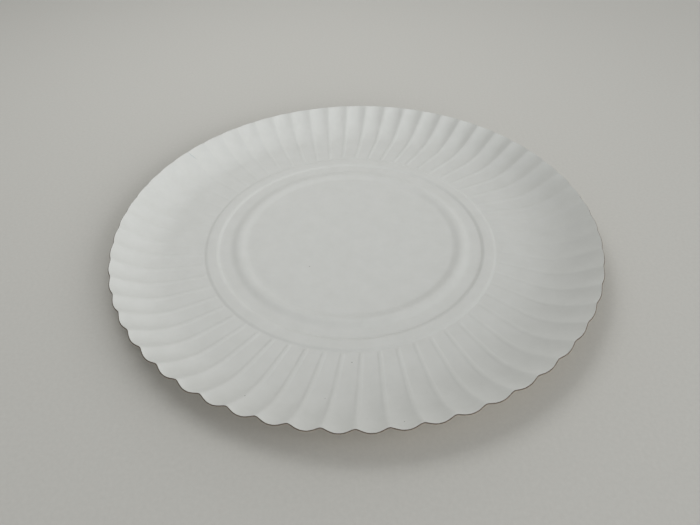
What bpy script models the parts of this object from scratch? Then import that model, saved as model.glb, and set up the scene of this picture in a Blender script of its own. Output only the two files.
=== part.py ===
"""Round disposable plate pressed from one sheet of white coated paperboard.

A flat well is ringed by a rounded bead and by a flat-topped ring. Outside them the sheet turns
up into a wide flange whose spare board is gathered into sixty narrow flutes, all leaning the
same way. Metres, +Z up. The origin is under the middle of the outline, on the surface that the
plate stands on.
"""
import math

import bmesh
import bpy
from mathutils import Matrix

# Board and outline
BOARD = 0.00045                 # thickness of the sheet
RIM_RADIUS = 0.1145             # outline of the plate, measured in its flute valleys
EDGE_OFFSET = 0.0021            # the outline lies this far to +X of the axis of the pressing

# Flange, from the rim inwards
FLANGE_WIDTH = 0.042            # fluted part of the sheet
RISE_WIDTH = 0.0255             # outer part of the flange, which turns up
BEND_RADIUS = 0.033             # curve of the flange's section
RIM_ANGLE = math.radians(36.5)  # slope that the bend ends in

# Flutes
FLUTES = 60
FIRST_FLUTE_ANGLE = math.radians(1.9)
FLUTE_SKEW = 0.009              # every crest line, drawn on inwards, touches a circle this large
SWELL_WIDTH = 0.034             # outer part of the flange, over which the flutes deepen and widen
INNER_FLUTE_DEPTH = 0.00011     # before that
RIM_FLUTE_DEPTH = 0.0008        # at the cut edge
CREST_RETREAT = 0.00077         # the cut edge is drawn in this far at each crest
CREST_ROUNDING_SHARE = 0.2      # 0 would give a knife-sharp crest
INNER_CREST_POWER = 1.8         # above 1 the crest is a narrow ridge on flat board
INNER_CREST_WIDTH_SHARE = 0.7   # width of that ridge, against a crest at the rim

# Embossed rings of the well, from the flange inwards
SHOULDER_WIDTH = 0.0014         # flat strip between the flutes and the ring
SHOULDER_HEIGHT = 0.00025       # of that strip, above the floor of the well
RING_HEIGHT = 0.00065
RING_FLANK_WIDTH = 0.0022
RING_TOP_WIDTH = 0.0033
GUTTER_WIDTH = 0.0043           # flat strip between the ring and the bead
BEAD_WIDTH = 0.0094
BEAD_HEIGHT = 0.00085

# Facets
WELL_STEPS = FLUTES
STEPS_PER_FLUTE = 5
BEAD_ROWS = 6
FLANGE_ROWS = 7

# Where each zone of the section starts, from the axis of the pressing
flange_start = RIM_RADIUS - FLANGE_WIDTH
rise_start = RIM_RADIUS - RISE_WIDTH
swell_start = RIM_RADIUS - SWELL_WIDTH
ring_end = flange_start - SHOULDER_WIDTH
ring_top_end = ring_end - RING_FLANK_WIDTH
ring_top_start = ring_top_end - RING_TOP_WIDTH
ring_start = ring_top_start - RING_FLANK_WIDTH
bead_end = ring_start - GUTTER_WIDTH
well_radius = bead_end - BEAD_WIDTH

MERGE_DISTANCE = 0.00001
CUT_EDGE_ANGLE = math.radians(40)
WHITE = (0.80, 0.80, 0.775, 1.0)
SOFT_SHEEN = 0.45


def blend(start, end, share):
    return start + (end - start) * share


def smooth_step(share):
    share = min(max(share, 0.0), 1.0)
    return share * share * (3 - 2 * share)


def well_section():
    """Radius and height of the underside, from the axis out to the flange."""
    points = [(0.0, 0.0)]
    for row in range(BEAD_ROWS + 1):
        share = row / BEAD_ROWS
        height = BEAD_HEIGHT * (1 - math.cos(2 * math.pi * share)) / 2
        points.append((blend(well_radius, bead_end, share), height))
    points += [
        (ring_start, 0.0),
        (ring_top_start, RING_HEIGHT),
        (ring_top_end, RING_HEIGHT),
        (ring_end, SHOULDER_HEIGHT),
    ]
    return points


def flange_section(radius):
    """Height and slope of the underside of the flange: flat, then a bend, then a straight cone."""
    run = max(0.0, radius - rise_start)
    bent_run = min(run, BEND_RADIUS * math.sin(RIM_ANGLE))
    slope = math.asin(bent_run / BEND_RADIUS)
    height = SHOULDER_HEIGHT + BEND_RADIUS * (1 - math.cos(slope))
    height += (run - bent_run) * math.tan(slope)
    return height, slope


def outline_radius(azimuth):
    """Distance from the axis of the pressing to the cut edge, which is a circle set off it."""
    across = EDGE_OFFSET * math.sin(azimuth)
    return EDGE_OFFSET * math.cos(azimuth) + math.sqrt(RIM_RADIUS ** 2 - across ** 2)


def flute_lift(phase, swell):
    """Height of a flute, 1 on its crest and 0 in its valley; phase runs from -0.5 to 0.5."""
    rounded = math.hypot(math.sin(math.pi * phase), CREST_ROUNDING_SHARE)
    sharp = max(0.0, (1 - rounded) / (1 - CREST_ROUNDING_SHARE))
    return sharp ** blend(INNER_CREST_POWER, 1.0, swell)


def fluted_point(row, step):
    """Where the turned flange's point at this row and step lies once the sheet is fluted."""
    row_share = row / FLANGE_ROWS
    turned_radius = blend(flange_start, RIM_RADIUS, row_share)
    swell = smooth_step((turned_radius - swell_start) / SWELL_WIDTH)
    flute = round(step / STEPS_PER_FLUTE)
    phase = (step / STEPS_PER_FLUTE - flute) * blend(INNER_CREST_WIDTH_SHARE, 1.0, swell)
    azimuth = FIRST_FLUTE_ANGLE + (flute + phase) * 2 * math.pi / FLUTES
    azimuth += math.asin(FLUTE_SKEW / turned_radius)

    crest_share = flute_lift(phase, swell)
    lift = crest_share * blend(INNER_FLUTE_DEPTH, RIM_FLUTE_DEPTH, swell) if row else 0.0
    radius = blend(flange_start, outline_radius(azimuth), row_share)
    height, slope = flange_section(radius)
    reach = radius - lift * math.sin(slope) - CREST_RETREAT * crest_share * swell * row_share ** 2
    height += lift * math.cos(slope)
    return reach * math.cos(azimuth), reach * math.sin(azimuth), height


def evaluated_mesh(thing):
    """Mesh of an object with its modifiers applied."""
    bpy.context.view_layer.update()
    graph = bpy.context.evaluated_depsgraph_get()
    return bpy.data.meshes.new_from_object(thing.evaluated_get(graph))


def spin(name, section, steps, collection):
    """Turn a section about the Z axis and return the sheet that it sweeps, facing up."""
    line = bpy.data.meshes.new(name)
    edges = [(i, i + 1) for i in range(len(section) - 1)]
    line.from_pydata([(radius, 0, height) for radius, height in section], edges, [])
    turned = bpy.data.objects.new(name, line)
    collection.objects.link(turned)
    screw = turned.modifiers.new("Turn", "SCREW")
    screw.steps = screw.render_steps = steps
    screw.use_merge_vertices = True
    screw.merge_threshold = MERGE_DISTANCE
    sheet = evaluated_mesh(turned)
    bpy.data.objects.remove(turned)
    bpy.data.meshes.remove(line)
    return sheet


def pressed_well(collection):
    """The turned middle of the sheet, its facets lined up with the valleys between the flutes."""
    well = spin("well", well_section(), WELL_STEPS, collection)
    valley = FIRST_FLUTE_ANGLE + math.asin(FLUTE_SKEW / flange_start) + math.pi / FLUTES
    well.transform(Matrix.Rotation(valley, 4, "Z"))
    return well


def fluted_flange(collection):
    """The turned outer part of the sheet, each point then moved onto its flute."""
    rings = [(blend(flange_start, RIM_RADIUS, row / FLANGE_ROWS), 0.0) for row in range(FLANGE_ROWS + 1)]
    flange = spin("flange", rings, FLUTES * STEPS_PER_FLUTE, collection)
    for vertex in flange.vertices:
        step, row = divmod(vertex.index, FLANGE_ROWS + 1)
        vertex.co = fluted_point(row, step)
    return flange


def joined_sheet(well, flange):
    """One open sheet: the two turned parts, and the flat shoulder filled in between them."""
    form = bmesh.new()
    form.from_mesh(well)
    form.from_mesh(flange)
    middle_of_flange = blend(flange_start, RIM_RADIUS, 0.5)
    seams = [
        edge
        for edge in form.edges
        if edge.is_boundary and edge.verts[0].co.xy.length < middle_of_flange
    ]
    bmesh.ops.triangle_fill(form, use_beauty=True, edges=seams, normal=(0, 0, 1))
    bmesh.ops.translate(form, vec=(-EDGE_OFFSET, 0, 0), verts=form.verts)
    sheet = bpy.data.meshes.new("sheet")
    form.to_mesh(sheet)
    form.free()
    return sheet


def coated_board():
    """White paperboard with a satin clay coating."""
    material = bpy.data.materials.new("coated_board")
    material.use_nodes = True
    shader = material.node_tree.nodes["Principled BSDF"]
    shader.inputs["Base Color"].default_value = WHITE
    shader.inputs["Roughness"].default_value = SOFT_SHEEN
    shader.inputs["Metallic"].default_value = 0.0
    return material


def make_plate(collection):
    sheet = joined_sheet(pressed_well(collection), fluted_flange(collection))
    plate = bpy.data.objects.new("plate", sheet)
    collection.objects.link(plate)
    board = plate.modifiers.new("Board", "SOLIDIFY")
    board.thickness = BOARD
    board.offset = 1
    board.use_even_offset = True

    plate.data = evaluated_mesh(plate)
    plate.modifiers.clear()
    plate.data.shade_smooth()
    plate.data.set_sharp_from_angle(angle=CUT_EDGE_ANGLE)
    plate.data.materials.append(coated_board())
    return plate


def main():
    for thing in list(bpy.data.objects):
        bpy.data.objects.remove(thing)
    parts = bpy.data.collections.new("paper_plate")
    bpy.context.scene.collection.children.link(parts)
    make_plate(parts)


main()
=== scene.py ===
import math

import bmesh
import bpy
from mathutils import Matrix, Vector


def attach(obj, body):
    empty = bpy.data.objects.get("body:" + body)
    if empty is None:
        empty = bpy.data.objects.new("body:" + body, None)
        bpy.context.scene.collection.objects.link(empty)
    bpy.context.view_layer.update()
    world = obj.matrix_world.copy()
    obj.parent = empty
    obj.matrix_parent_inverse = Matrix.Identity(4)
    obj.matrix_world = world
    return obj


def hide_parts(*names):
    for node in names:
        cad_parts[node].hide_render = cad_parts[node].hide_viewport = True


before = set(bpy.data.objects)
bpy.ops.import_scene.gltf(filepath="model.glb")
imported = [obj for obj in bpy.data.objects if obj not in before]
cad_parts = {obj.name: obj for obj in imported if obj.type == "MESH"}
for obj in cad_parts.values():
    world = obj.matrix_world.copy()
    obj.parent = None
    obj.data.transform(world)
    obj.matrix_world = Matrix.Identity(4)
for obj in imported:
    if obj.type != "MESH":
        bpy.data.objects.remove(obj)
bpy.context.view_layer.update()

# Pressed middle of the plate. The sheet is white coated paperboard, struck flat between two dies
# that also raise a rounded bead round the floor and, further out, a flat-topped ring, both of
# which stiffen the sheet. What is drawn here is the underside of the sheet.
MM = 0.001
AXIS = Vector((-2.1 * MM, 0, 0))            # centre of the pressing, off the middle of the outline
SHOULDER_RADIUS, SHOULDER_HEIGHT = 71.1 * MM, 0.25 * MM
RING_OUTSIDE, RING_INSIDE, RING_HEIGHT = 69.3 * MM, 65.6 * MM, 0.65 * MM    # its flat top
RING_FOOT = 63.4 * MM
BEAD_FOOT, BEAD_CREST, BEAD_HEIGHT = 59.1 * MM, 54.4 * MM, 0.91 * MM
FLOOR_RADIUS = 49.7 * MM
SLOPES = (                                  # from the shoulder inwards: where it ends, and rows
    (RING_OUTSIDE, RING_HEIGHT, 5),
    (RING_INSIDE, RING_HEIGHT, 3),
    (RING_FOOT, 0, 6),
    (BEAD_FOOT, 0, 3),
    (BEAD_CREST, BEAD_HEIGHT, 6),
    (FLOOR_RADIUS, 0, 6),
)
RING_STEPS = 240
DIE_TILT = Vector((0.22, -0.22))            # the dies closed a little harder at the near right


def deselect_all():
    bpy.ops.object.select_all(action="DESELECT")


def smooth_step(start, end, value):
    share = min(max((value - start) / (end - start), 0.0), 1.0)
    return share * share * (3 - 2 * share)


deselect_all()
bpy.ops.mesh.primitive_circle_add(
    vertices=RING_STEPS, radius=SHOULDER_RADIUS, fill_type="NOTHING",
    location=AXIS + Vector((0, 0, SHOULDER_HEIGHT)),
)
well = bpy.context.object
bpy.ops.object.transform_apply(location=True, rotation=True, scale=True)
bpy.ops.object.mode_set(mode="EDIT")
bpy.ops.mesh.select_all(action="SELECT")
start_radius, start_height = radius, height = SHOULDER_RADIUS, SHOULDER_HEIGHT
for end_radius, end_height, rows in SLOPES:
    for row in range(1, rows + 1):
        share = row / rows
        ease = (1 - math.cos(math.pi * share)) / 2
        next_radius = start_radius + (end_radius - start_radius) * share
        next_height = start_height + (end_height - start_height) * ease
        bpy.ops.mesh.extrude_region_move(
            TRANSFORM_OT_translate={"value": (0, 0, next_height - height)}
        )
        shrink = next_radius / radius
        bpy.ops.transform.resize(value=(shrink, shrink, 1), center_override=AXIS)
        radius, height = next_radius, next_height
    start_radius, start_height = end_radius, end_height
bpy.ops.mesh.fill_grid(span=RING_STEPS // 4)
bpy.ops.object.mode_set(mode="OBJECT")

for point in well.data.vertices:
    spoke = (point.co - AXIS).xy
    foot = SHOULDER_HEIGHT * smooth_step(RING_FOOT, SHOULDER_RADIUS, spoke.length)
    point.co.z = foot + (point.co.z - foot) * (1 + spoke.normalized().dot(DIE_TILT))

# Fluted flange. Where the sheet turns up it has more board than the rim has room for, and the
# dies gather that board into sixty flutes that all lean the same way. Each starts as a narrow
# ridge and widens into a lobe. One is modelled, and sixty of it make the flange.
FLUTES = 60
FLUTE_STEPS = 20
CREST_STEP = 0.5                            # a step across the crest, against an even one
FLANGE_ROWS = 28
ROW_CROWDING = 1.25                         # above 1 the rows are closer together near the ring
FLANGE_START = 71.5 * MM
RISE_START = 89 * MM                        # the sheet turns up from here
RIM_RADIUS = 114.38 * MM
BEND_RADIUS = 33 * MM
RIM_ANGLE = math.radians(36.5)
FIRST_CREST = math.radians(1.9)
CREST_MISS = 9 * MM                         # a crest, drawn on inwards, misses the axis by this
RIDGE_DEPTH, LOBE_DEPTH = 0.15 * MM, 0.7 * MM
DEEPENING_START, DEEPENING_END = 83 * MM, 107 * MM
WIDENING_START, WIDENING_END = 78 * MM, 106 * MM
RIDGE_TOP_SHARE, RIDGE_FOOT_SHARE = 0.03, 0.16      # half widths, as shares of a flute's width
RIDGE_TIP = 0.6 * MM                        # length over which a ridge comes up from the sheet
CREST_ROUNDING = 0.2                        # 0 would give a knife-sharp crest
CREST_RETREAT = 0.77 * MM                   # the crests also draw the edge in


def flange_section(radius):
    """Height and slope of the underside between two flutes: flat, a bend, then a straight cone."""
    run = max(0.0, radius - RISE_START)
    bent_run = min(run, BEND_RADIUS * math.sin(RIM_ANGLE))
    slope = math.asin(bent_run / BEND_RADIUS)
    height = SHOULDER_HEIGHT + BEND_RADIUS * (1 - math.cos(slope))
    return height + (run - bent_run) * math.tan(slope), slope


def flute_lift(radius, phase):
    """How far a flute stands off the flange; phase is 0 on its crest, -0.5 and 0.5 in valleys."""
    ridge = 1 - smooth_step(RIDGE_TOP_SHARE, RIDGE_FOOT_SHARE, abs(phase))
    rounded = math.hypot(math.sin(math.pi * phase), CREST_ROUNDING)
    lobe = max(0.0, (1 - rounded) / (1 - CREST_ROUNDING))
    shape = ridge + (lobe - ridge) * smooth_step(WIDENING_START, WIDENING_END, radius)
    deepening = smooth_step(DEEPENING_START, DEEPENING_END, radius)
    depth = RIDGE_DEPTH + (LOBE_DEPTH - RIDGE_DEPTH) * deepening
    return depth * shape * smooth_step(FLANGE_START, FLANGE_START + RIDGE_TIP, radius)


def radius_before_fluting(share):
    return FLANGE_START + (RIM_RADIUS - FLANGE_START) * share ** ROW_CROWDING


def flute_point(phase, share):
    phase *= CREST_STEP + (1 - CREST_STEP) * (2 * phase) ** 2
    radius = radius_before_fluting(share)
    height, slope = flange_section(radius)
    lift = flute_lift(radius, phase)
    turn = FIRST_CREST + phase * math.tau / FLUTES + math.asin(CREST_MISS / radius)
    reach = radius - lift * math.sin(slope) - CREST_RETREAT * lift / LOBE_DEPTH * share ** 2
    height += lift * math.cos(slope)
    return AXIS + Vector((reach * math.cos(turn), reach * math.sin(turn), height))


deselect_all()
bpy.ops.mesh.primitive_grid_add(x_subdivisions=FLUTE_STEPS, y_subdivisions=FLANGE_ROWS, size=1)
flange = bpy.context.object
unfluted = flange.data.attributes.new("radius before fluting", "FLOAT", "POINT")
for point in flange.data.vertices:
    phase, share = point.co.x, point.co.y + 0.5
    unfluted.data[point.index].value = radius_before_fluting(share)
    point.co = flute_point(phase, share)
bpy.ops.object.mode_set(mode="EDIT")
bpy.ops.mesh.select_all(action="SELECT")
bpy.ops.mesh.spin(
    steps=FLUTES - 1, dupli=True, angle=math.tau * (FLUTES - 1) / FLUTES, center=AXIS,
    axis=(0, 0, 1),
)
bpy.ops.mesh.select_all(action="SELECT")
bpy.ops.mesh.remove_doubles(threshold=0.01 * MM)
bpy.ops.object.mode_set(mode="OBJECT")

# No two flutes are quite alike. The blank lay a little to one side in the dies, so the rim
# reaches further up the slope there. Board folds most readily along its grain, where the flutes
# are deepest, and their inner ends are deeper where the dies closed harder.
GRAIN_ANGLE = math.radians(77)
GRAIN = Vector((math.cos(GRAIN_ANGLE), math.sin(GRAIN_ANGLE)))
STRIKE_ACROSS, STRIKE_ALONG = 0.46, 1.2     # depth of a flute, against the one modelled
unfluted = flange.data.attributes["radius before fluting"]
for point in flange.data.vertices:
    spoke = (point.co - AXIS).xy
    direction = spoke.normalized()
    before = unfluted.data[point.index].value
    share = (before - FLANGE_START) / (RIM_RADIUS - FLANGE_START)
    strike = STRIKE_ACROSS + (STRIKE_ALONG - STRIKE_ACROSS) * direction.dot(GRAIN) ** 2
    strike *= 1 + (1 - share) ** 2 * direction.dot(DIE_TILT)
    drawn_in = (before - spoke.length) * strike
    lift = (point.co.z - flange_section(before)[0]) * strike
    off_axis = direction.cross(AXIS.xy)
    outline = math.sqrt(RIM_RADIUS ** 2 - off_axis ** 2) - direction.dot(AXIS.xy)
    radius = before + share * (outline - RIM_RADIUS)
    point.co.xy = AXIS.xy + direction * (radius - drawn_in)
    point.co.z = flange_section(radius)[0] + lift
flange.data.attributes.remove(unfluted)

# The whole plate: middle and flange are one sheet of board, so they are joined edge to edge, and
# the sheet gets its thickness, upwards from the underside that was drawn.
BOARD = 0.45 * MM
deselect_all()
well.select_set(True)
flange.select_set(True)
bpy.context.view_layer.objects.active = well
bpy.ops.object.join()
plate = well
plate.name = plate.data.name = "pressed_plate"
bpy.ops.object.mode_set(mode="EDIT")
bpy.ops.mesh.select_mode(type="EDGE")
middle_of_flange = (FLANGE_START + RIM_RADIUS) / 2
form = bmesh.from_edit_mesh(plate.data)
for edge in form.edges:
    middle = (edge.verts[0].co + edge.verts[1].co) / 2 - AXIS
    edge.select_set(edge.is_boundary and middle.xy.length < middle_of_flange)
bmesh.update_edit_mesh(plate.data)
bpy.ops.mesh.bridge_edge_loops()
bpy.ops.mesh.select_all(action="SELECT")
bpy.ops.mesh.normals_make_consistent(inside=False)
form = bmesh.from_edit_mesh(plate.data)
form.normal_update()
if sum(face.normal.z for face in form.faces) < 0:
    bpy.ops.mesh.flip_normals()
bpy.ops.object.mode_set(mode="OBJECT")

board = plate.modifiers.new("board", "SOLIDIFY")
board.thickness = BOARD
board.offset = 1
board.use_even_offset = True
bpy.ops.object.modifier_apply(modifier="board")

# Cut edge. A steel rule, which is a long knife bent to the outline, cuts the blank from the
# sheet. That bares the plies of the board, and the knife's wedge leaves the edge leaning out at
# its foot. The band round the rim is divided across, to show the plies.
CORE, LINER = 1, 2                          # slots of their materials; the coat's is 0
LEVEL_NORMAL = 0.7                          # Z of a normal, beyond which a face isn't the cut edge
KNIFE_LEAN = 0.1 * MM
PLY_CUTS = 3
CRISP_ANGLE = math.radians(40)              # only the two corners of the cut edge are sharper
plate.data.update()
ply = plate.data.attributes.new("ply", "FLOAT", "POINT")    # 0 at the coat, 1 at the liner
foot_of_edge = set()
for face in plate.data.polygons:
    if face.normal.z < -LEVEL_NORMAL:
        face.material_index = LINER
        for corner in face.vertices:
            ply.data[corner].value = 1.0
    elif face.normal.z < LEVEL_NORMAL:
        face.material_index = CORE
        foot_of_edge.update(corner for corner in face.vertices if ply.data[corner].value == 1)
for corner in foot_of_edge:
    point = plate.data.vertices[corner]
    point.co.xy += (point.co - AXIS).xy.normalized() * KNIFE_LEAN
bpy.ops.object.mode_set(mode="EDIT")
bpy.ops.mesh.select_mode(type="EDGE")
form = bmesh.from_edit_mesh(plate.data)
for edge in form.edges:
    crosses = all(face.material_index == CORE for face in edge.link_faces)
    edge.select_set(len(edge.link_faces) == 2 and crosses)
bmesh.update_edit_mesh(plate.data)
bpy.ops.mesh.subdivide(number_cuts=PLY_CUTS)
bpy.ops.object.mode_set(mode="OBJECT")
bpy.ops.object.shade_smooth_by_angle(angle=CRISP_ANGLE)


def linear(hex_colour):
    """sRGB hex colour as Blender's linear RGBA."""
    shares = [int(hex_colour[i:i + 2], 16) / 255 for i in (1, 3, 5)]
    return [s / 12.92 if s < 0.04045 else ((s + 0.055) / 1.055) ** 2.4 for s in shares] + [1]


def add_node(tree, kind, links=(), **settings):
    """Adds a node. Settings are its own, or its sockets' values by number, as in s2=0.5.

    Of a noise, s2 is the scale, s3 the detail and s4 the roughness. Of a bump, s0 is the strength
    and s1 the distance, which is the real height. Of a mix, 0 is the share, and 6 and 7 are the
    colours.
    """
    node = tree.nodes.new(kind)
    for name, value in settings.items():
        if name[0] == "s" and name[1:].isdigit():
            node.inputs[int(name[1:])].default_value = value
        else:
            setattr(node, name, value)
    for socket, source in links:
        tree.links.new(source, node.inputs[socket])
    return node


def new_material(name):
    material = bpy.data.materials.new(name)
    material.use_nodes = True
    return material, material.node_tree, material.node_tree.nodes["Principled BSDF"]


# Clay coat on white paperboard, calendered and then pressed: an even, slightly grey white with a
# soft satin sheen. It bears five specks, and one short crease where the rim was once bent. The
# crease is pressed in as a bump, and its darker grey-blue colour is painted shade of the fold.
MOTTLE_SIZE = 9 * MM                        # of the faint unevenness that the clay leaves
FIBRE_SIZE = 0.9 * MM                       # drawn coarser than the real ones, so that they show
MARK_FADE = 0.4                             # how far a mark fades past its limit, against its size
CREASE = (-90.6, 63.8, 4.4, 0.6, -17.6)     # x, y, length and width in mm, turn in degrees
SPECKS = (
    (16.1, -107.4, 0.42, 0.36, 0),
    (-21.4, -19.8, 0.456, 0.38, 25),
    (-42.1, -93.8, 0.456, 0.38, 25),
    (-2.1, -76.1, 0.432, 0.36, 25),
    (-12.4, -93.1, 0.312, 0.26, 25),
)
coat, tree, shader = new_material("clay-coated white paperboard")
place = add_node(tree, "ShaderNodeTexCoord").outputs["Object"]


def add_mark(x, y, length, width, turn):
    """1 inside a long oval on the plate, seen from above, and 0 outside it, with a soft limit."""
    oval = add_node(tree, "ShaderNodeMapping", [(0, place)], vector_type="TEXTURE")
    oval.inputs["Location"].default_value = (x * MM, y * MM, 0)
    oval.inputs["Rotation"].default_value = (0, 0, math.radians(turn))
    oval.inputs["Scale"].default_value = (length / 2 * MM, width / 2 * MM, 1)
    spread = add_node(tree, "ShaderNodeVectorMath", [(0, oval.outputs[0])], operation="LENGTH")
    limit = add_node(
        tree, "ShaderNodeMapRange", [(0, spread.outputs["Value"])], s1=1 + MARK_FADE,
        s2=1 - MARK_FADE,
    )
    return limit.outputs[0]


mottle = add_node(tree, "ShaderNodeTexNoise", [(0, place)], s2=1 / MOTTLE_SIZE, s3=5.0, s4=0.65)
white = add_node(
    tree, "ShaderNodeMix", [(0, mottle.outputs["Fac"])], data_type="RGBA",
    s6=linear("#CACBC7"), s7=linear("#D6D7D4"),
)
crease = add_mark(*CREASE)
# painted shade: the crease is coloured a darker grey-blue than the coat, for the shade in its fold
crease_painted_shade = add_node(
    tree, "ShaderNodeMix", [(0, crease), (6, white.outputs[2])], data_type="RGBA",
    s7=linear("#BBC0C1"),
)
specks, *others = [add_mark(*speck) for speck in SPECKS]
for speck in others:
    strongest = add_node(
        tree, "ShaderNodeMath", [(0, specks), (1, speck)], operation="MAXIMUM"
    )
    specks = strongest.outputs[0]
marked = add_node(
    tree, "ShaderNodeMix", [(0, specks), (6, crease_painted_shade.outputs[2])], data_type="RGBA",
    s7=linear("#77746D"),
)
tree.links.new(marked.outputs[2], shader.inputs["Base Color"])
shader.inputs["Roughness"].default_value = 0.56
fibre = add_node(tree, "ShaderNodeTexNoise", [(0, place)], s2=1 / FIBRE_SIZE, s3=3.0)
relief = add_node(
    tree, "ShaderNodeBump", [("Height", fibre.outputs["Fac"])], s0=0.15, s1=0.02 * MM
)
fold = add_node(
    tree, "ShaderNodeBump", [("Height", crease), ("Normal", relief.outputs["Normal"])],
    s0=1.0, s1=0.05 * MM,
)
tree.links.new(fold.outputs["Normal"], shader.inputs["Normal"])

# Pulp core of the board, bared by the knife: dull grey-brown fibre between two paler plies, seen
# from a distance as one thin dark line. The pulp is painted much darker than its own grey-brown,
# as painted shade along the cut edge. The plies wander a little along the cut.
FRAY_SIZE = 0.6 * MM
FRAY_REACH = 0.3                            # how far they wander, as a share of the board
core, tree, shader = new_material("grey-brown pulp core, die-cut, darkened by painted shade")
depth = add_node(tree, "ShaderNodeAttribute", attribute_name="ply")
place = add_node(tree, "ShaderNodeTexCoord").outputs["Object"]
fray = add_node(tree, "ShaderNodeTexNoise", [(0, place)], s2=1 / FRAY_SIZE, s3=3.0)
wander = add_node(
    tree, "ShaderNodeMath", [(0, fray.outputs["Fac"])], operation="MULTIPLY_ADD",
    s1=FRAY_REACH, s2=-FRAY_REACH / 2,
)
layer = add_node(
    tree, "ShaderNodeMath", [(0, depth.outputs["Fac"]), (1, wander.outputs[0])], operation="ADD"
)
ramp = add_node(tree, "ShaderNodeValToRGB", [(0, layer.outputs[0])])
stops = ramp.color_ramp.elements
stops[0].position, stops[0].color = 0.08, linear("#C4C3BD")     # ply under the coat
stops[1].position, stops[1].color = 0.92, linear("#B9AC9A")     # ply of the liner
# painted shade: these two stops darken the pulp well below its own colour, for the shade at the
# cut edge
stops.new(0.16).color = linear("#4A413A")                       # pulp, from here
stops.new(0.78).color = linear("#544A41")                       # to here
tree.links.new(ramp.outputs[0], shader.inputs["Base Color"])
shader.inputs["Roughness"].default_value = 0.9

# Uncoated liner, the ply that makes the underside: cream and matt, with long fibres that show as
# a faint cloudiness and a slight tooth.
LINER_FIBRE_SIZE = 1.2 * MM                 # drawn coarser than the real ones, so that they show
liner, tree, shader = new_material("uncoated cream board liner")
place = add_node(tree, "ShaderNodeTexCoord").outputs["Object"]
fibre = add_node(tree, "ShaderNodeTexNoise", [(0, place)], s2=1 / LINER_FIBRE_SIZE, s3=5.0)
tint = add_node(
    tree, "ShaderNodeMix", [(0, fibre.outputs["Fac"])], data_type="RGBA",
    s6=linear("#BDB19E"), s7=linear("#CDC3B3"),
)
tree.links.new(tint.outputs[2], shader.inputs["Base Color"])
shader.inputs["Roughness"].default_value = 0.85
relief = add_node(
    tree, "ShaderNodeBump", [("Height", fibre.outputs["Fac"])], s0=0.3, s1=0.03 * MM
)
tree.links.new(relief.outputs["Normal"], shader.inputs["Normal"])

for material in (coat, core, liner):
    plate.data.materials.append(material)
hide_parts("plate")
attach(plate, "root")

# Floor: a plain pale matt sheet with a fine grain. It is wide enough to fill the view, and ends
# well short of the lamps, which would overexpose it.
FLOOR_WIDTH = 1.3
GRAIN_SIZE = 1.6 * MM
deselect_all()
bpy.ops.mesh.primitive_plane_add(size=FLOOR_WIDTH)
floor = bpy.context.object
floor.name = "floor"
matt, tree, shader = new_material("pale matt floor")
place = add_node(tree, "ShaderNodeTexCoord").outputs["Object"]
grain = add_node(tree, "ShaderNodeTexNoise", [(0, place)], s2=1 / GRAIN_SIZE, s3=3.0, s4=0.7)
tint = add_node(
    tree, "ShaderNodeMix", [(0, grain.outputs["Fac"])], data_type="RGBA",
    s6=linear("#C1C0BB"), s7=linear("#CDCCC7"),
)
tree.links.new(tint.outputs[2], shader.inputs["Base Color"])
shader.inputs["Roughness"].default_value = 0.9
floor.data.materials.append(matt)

# Light: an even pale surround gives about a third of it. Four low lamps bring out the flutes,
# the strongest at the front right, and two near ones, higher up, brighten the back and left.
SURROUND_STRENGTH = 0.275
LAMPS = (       # azimuth from +X towards +Y and elevation in degrees, distance and width in metres
    ("low lamp, front right", -60, 16, 1.5, 0.8, 11.2, "#F9FBFF"),      # power in watts, colour
    ("lamp, right", -15, 28, 1.5, 0.8, 4.8, "#FFFFFF"),
    ("low lamp, back right", 60, 16, 1.5, 0.8, 2.1, "#FFFFFF"),
    ("low lamp, back", 100, 16, 1.5, 0.8, 1.8, "#FFFFFF"),
    ("near lamp, back", 90, 60, 0.45, 0.25, 0.26, "#FFFFFF"),
    ("near lamp, back left", 135, 60, 0.6, 0.3, 0.71, "#FFFFFF"),
)
world = bpy.data.worlds.new("even pale surround")
world.use_nodes = True
surround = world.node_tree.nodes["Background"]
surround.inputs["Color"].default_value = linear("#FFFFFB")
surround.inputs["Strength"].default_value = SURROUND_STRENGTH
bpy.context.scene.world = world

for name, azimuth, elevation, distance, width, power, colour in LAMPS:
    azimuth, elevation = math.radians(azimuth), math.radians(elevation)
    level = math.cos(elevation)
    toward = Vector((math.cos(azimuth) * level, math.sin(azimuth) * level, math.sin(elevation)))
    deselect_all()
    bpy.ops.object.light_add(type="AREA", location=toward * distance)
    lamp = bpy.context.object
    lamp.name = name
    lamp.rotation_euler = toward.to_track_quat("Z", "Y").to_euler()
    lamp.data.size = width
    lamp.data.energy = power
    lamp.data.color = linear(colour)[:3]

# Camera: where the photograph was taken from, looking down at the plate and a touch out of level.
CAMERA_PLACE = (-0.002407, -0.219721, 0.188884)
CAMERA_DIP, CAMERA_ROLL = math.radians(42.965), math.radians(-0.662)
bpy.ops.object.camera_add(location=CAMERA_PLACE, rotation=(0, 0, 0))
camera = bpy.context.object
camera.rotation_mode = "ZYX"
camera.rotation_euler = (math.pi / 2 - CAMERA_DIP, 0, CAMERA_ROLL)
camera.data.sensor_fit = "HORIZONTAL"
camera.data.sensor_width = 36
camera.data.lens = 30.095
camera.data.clip_start = 0.01
bpy.context.scene.camera = camera
bpy.context.scene.view_settings.view_transform = "Standard"
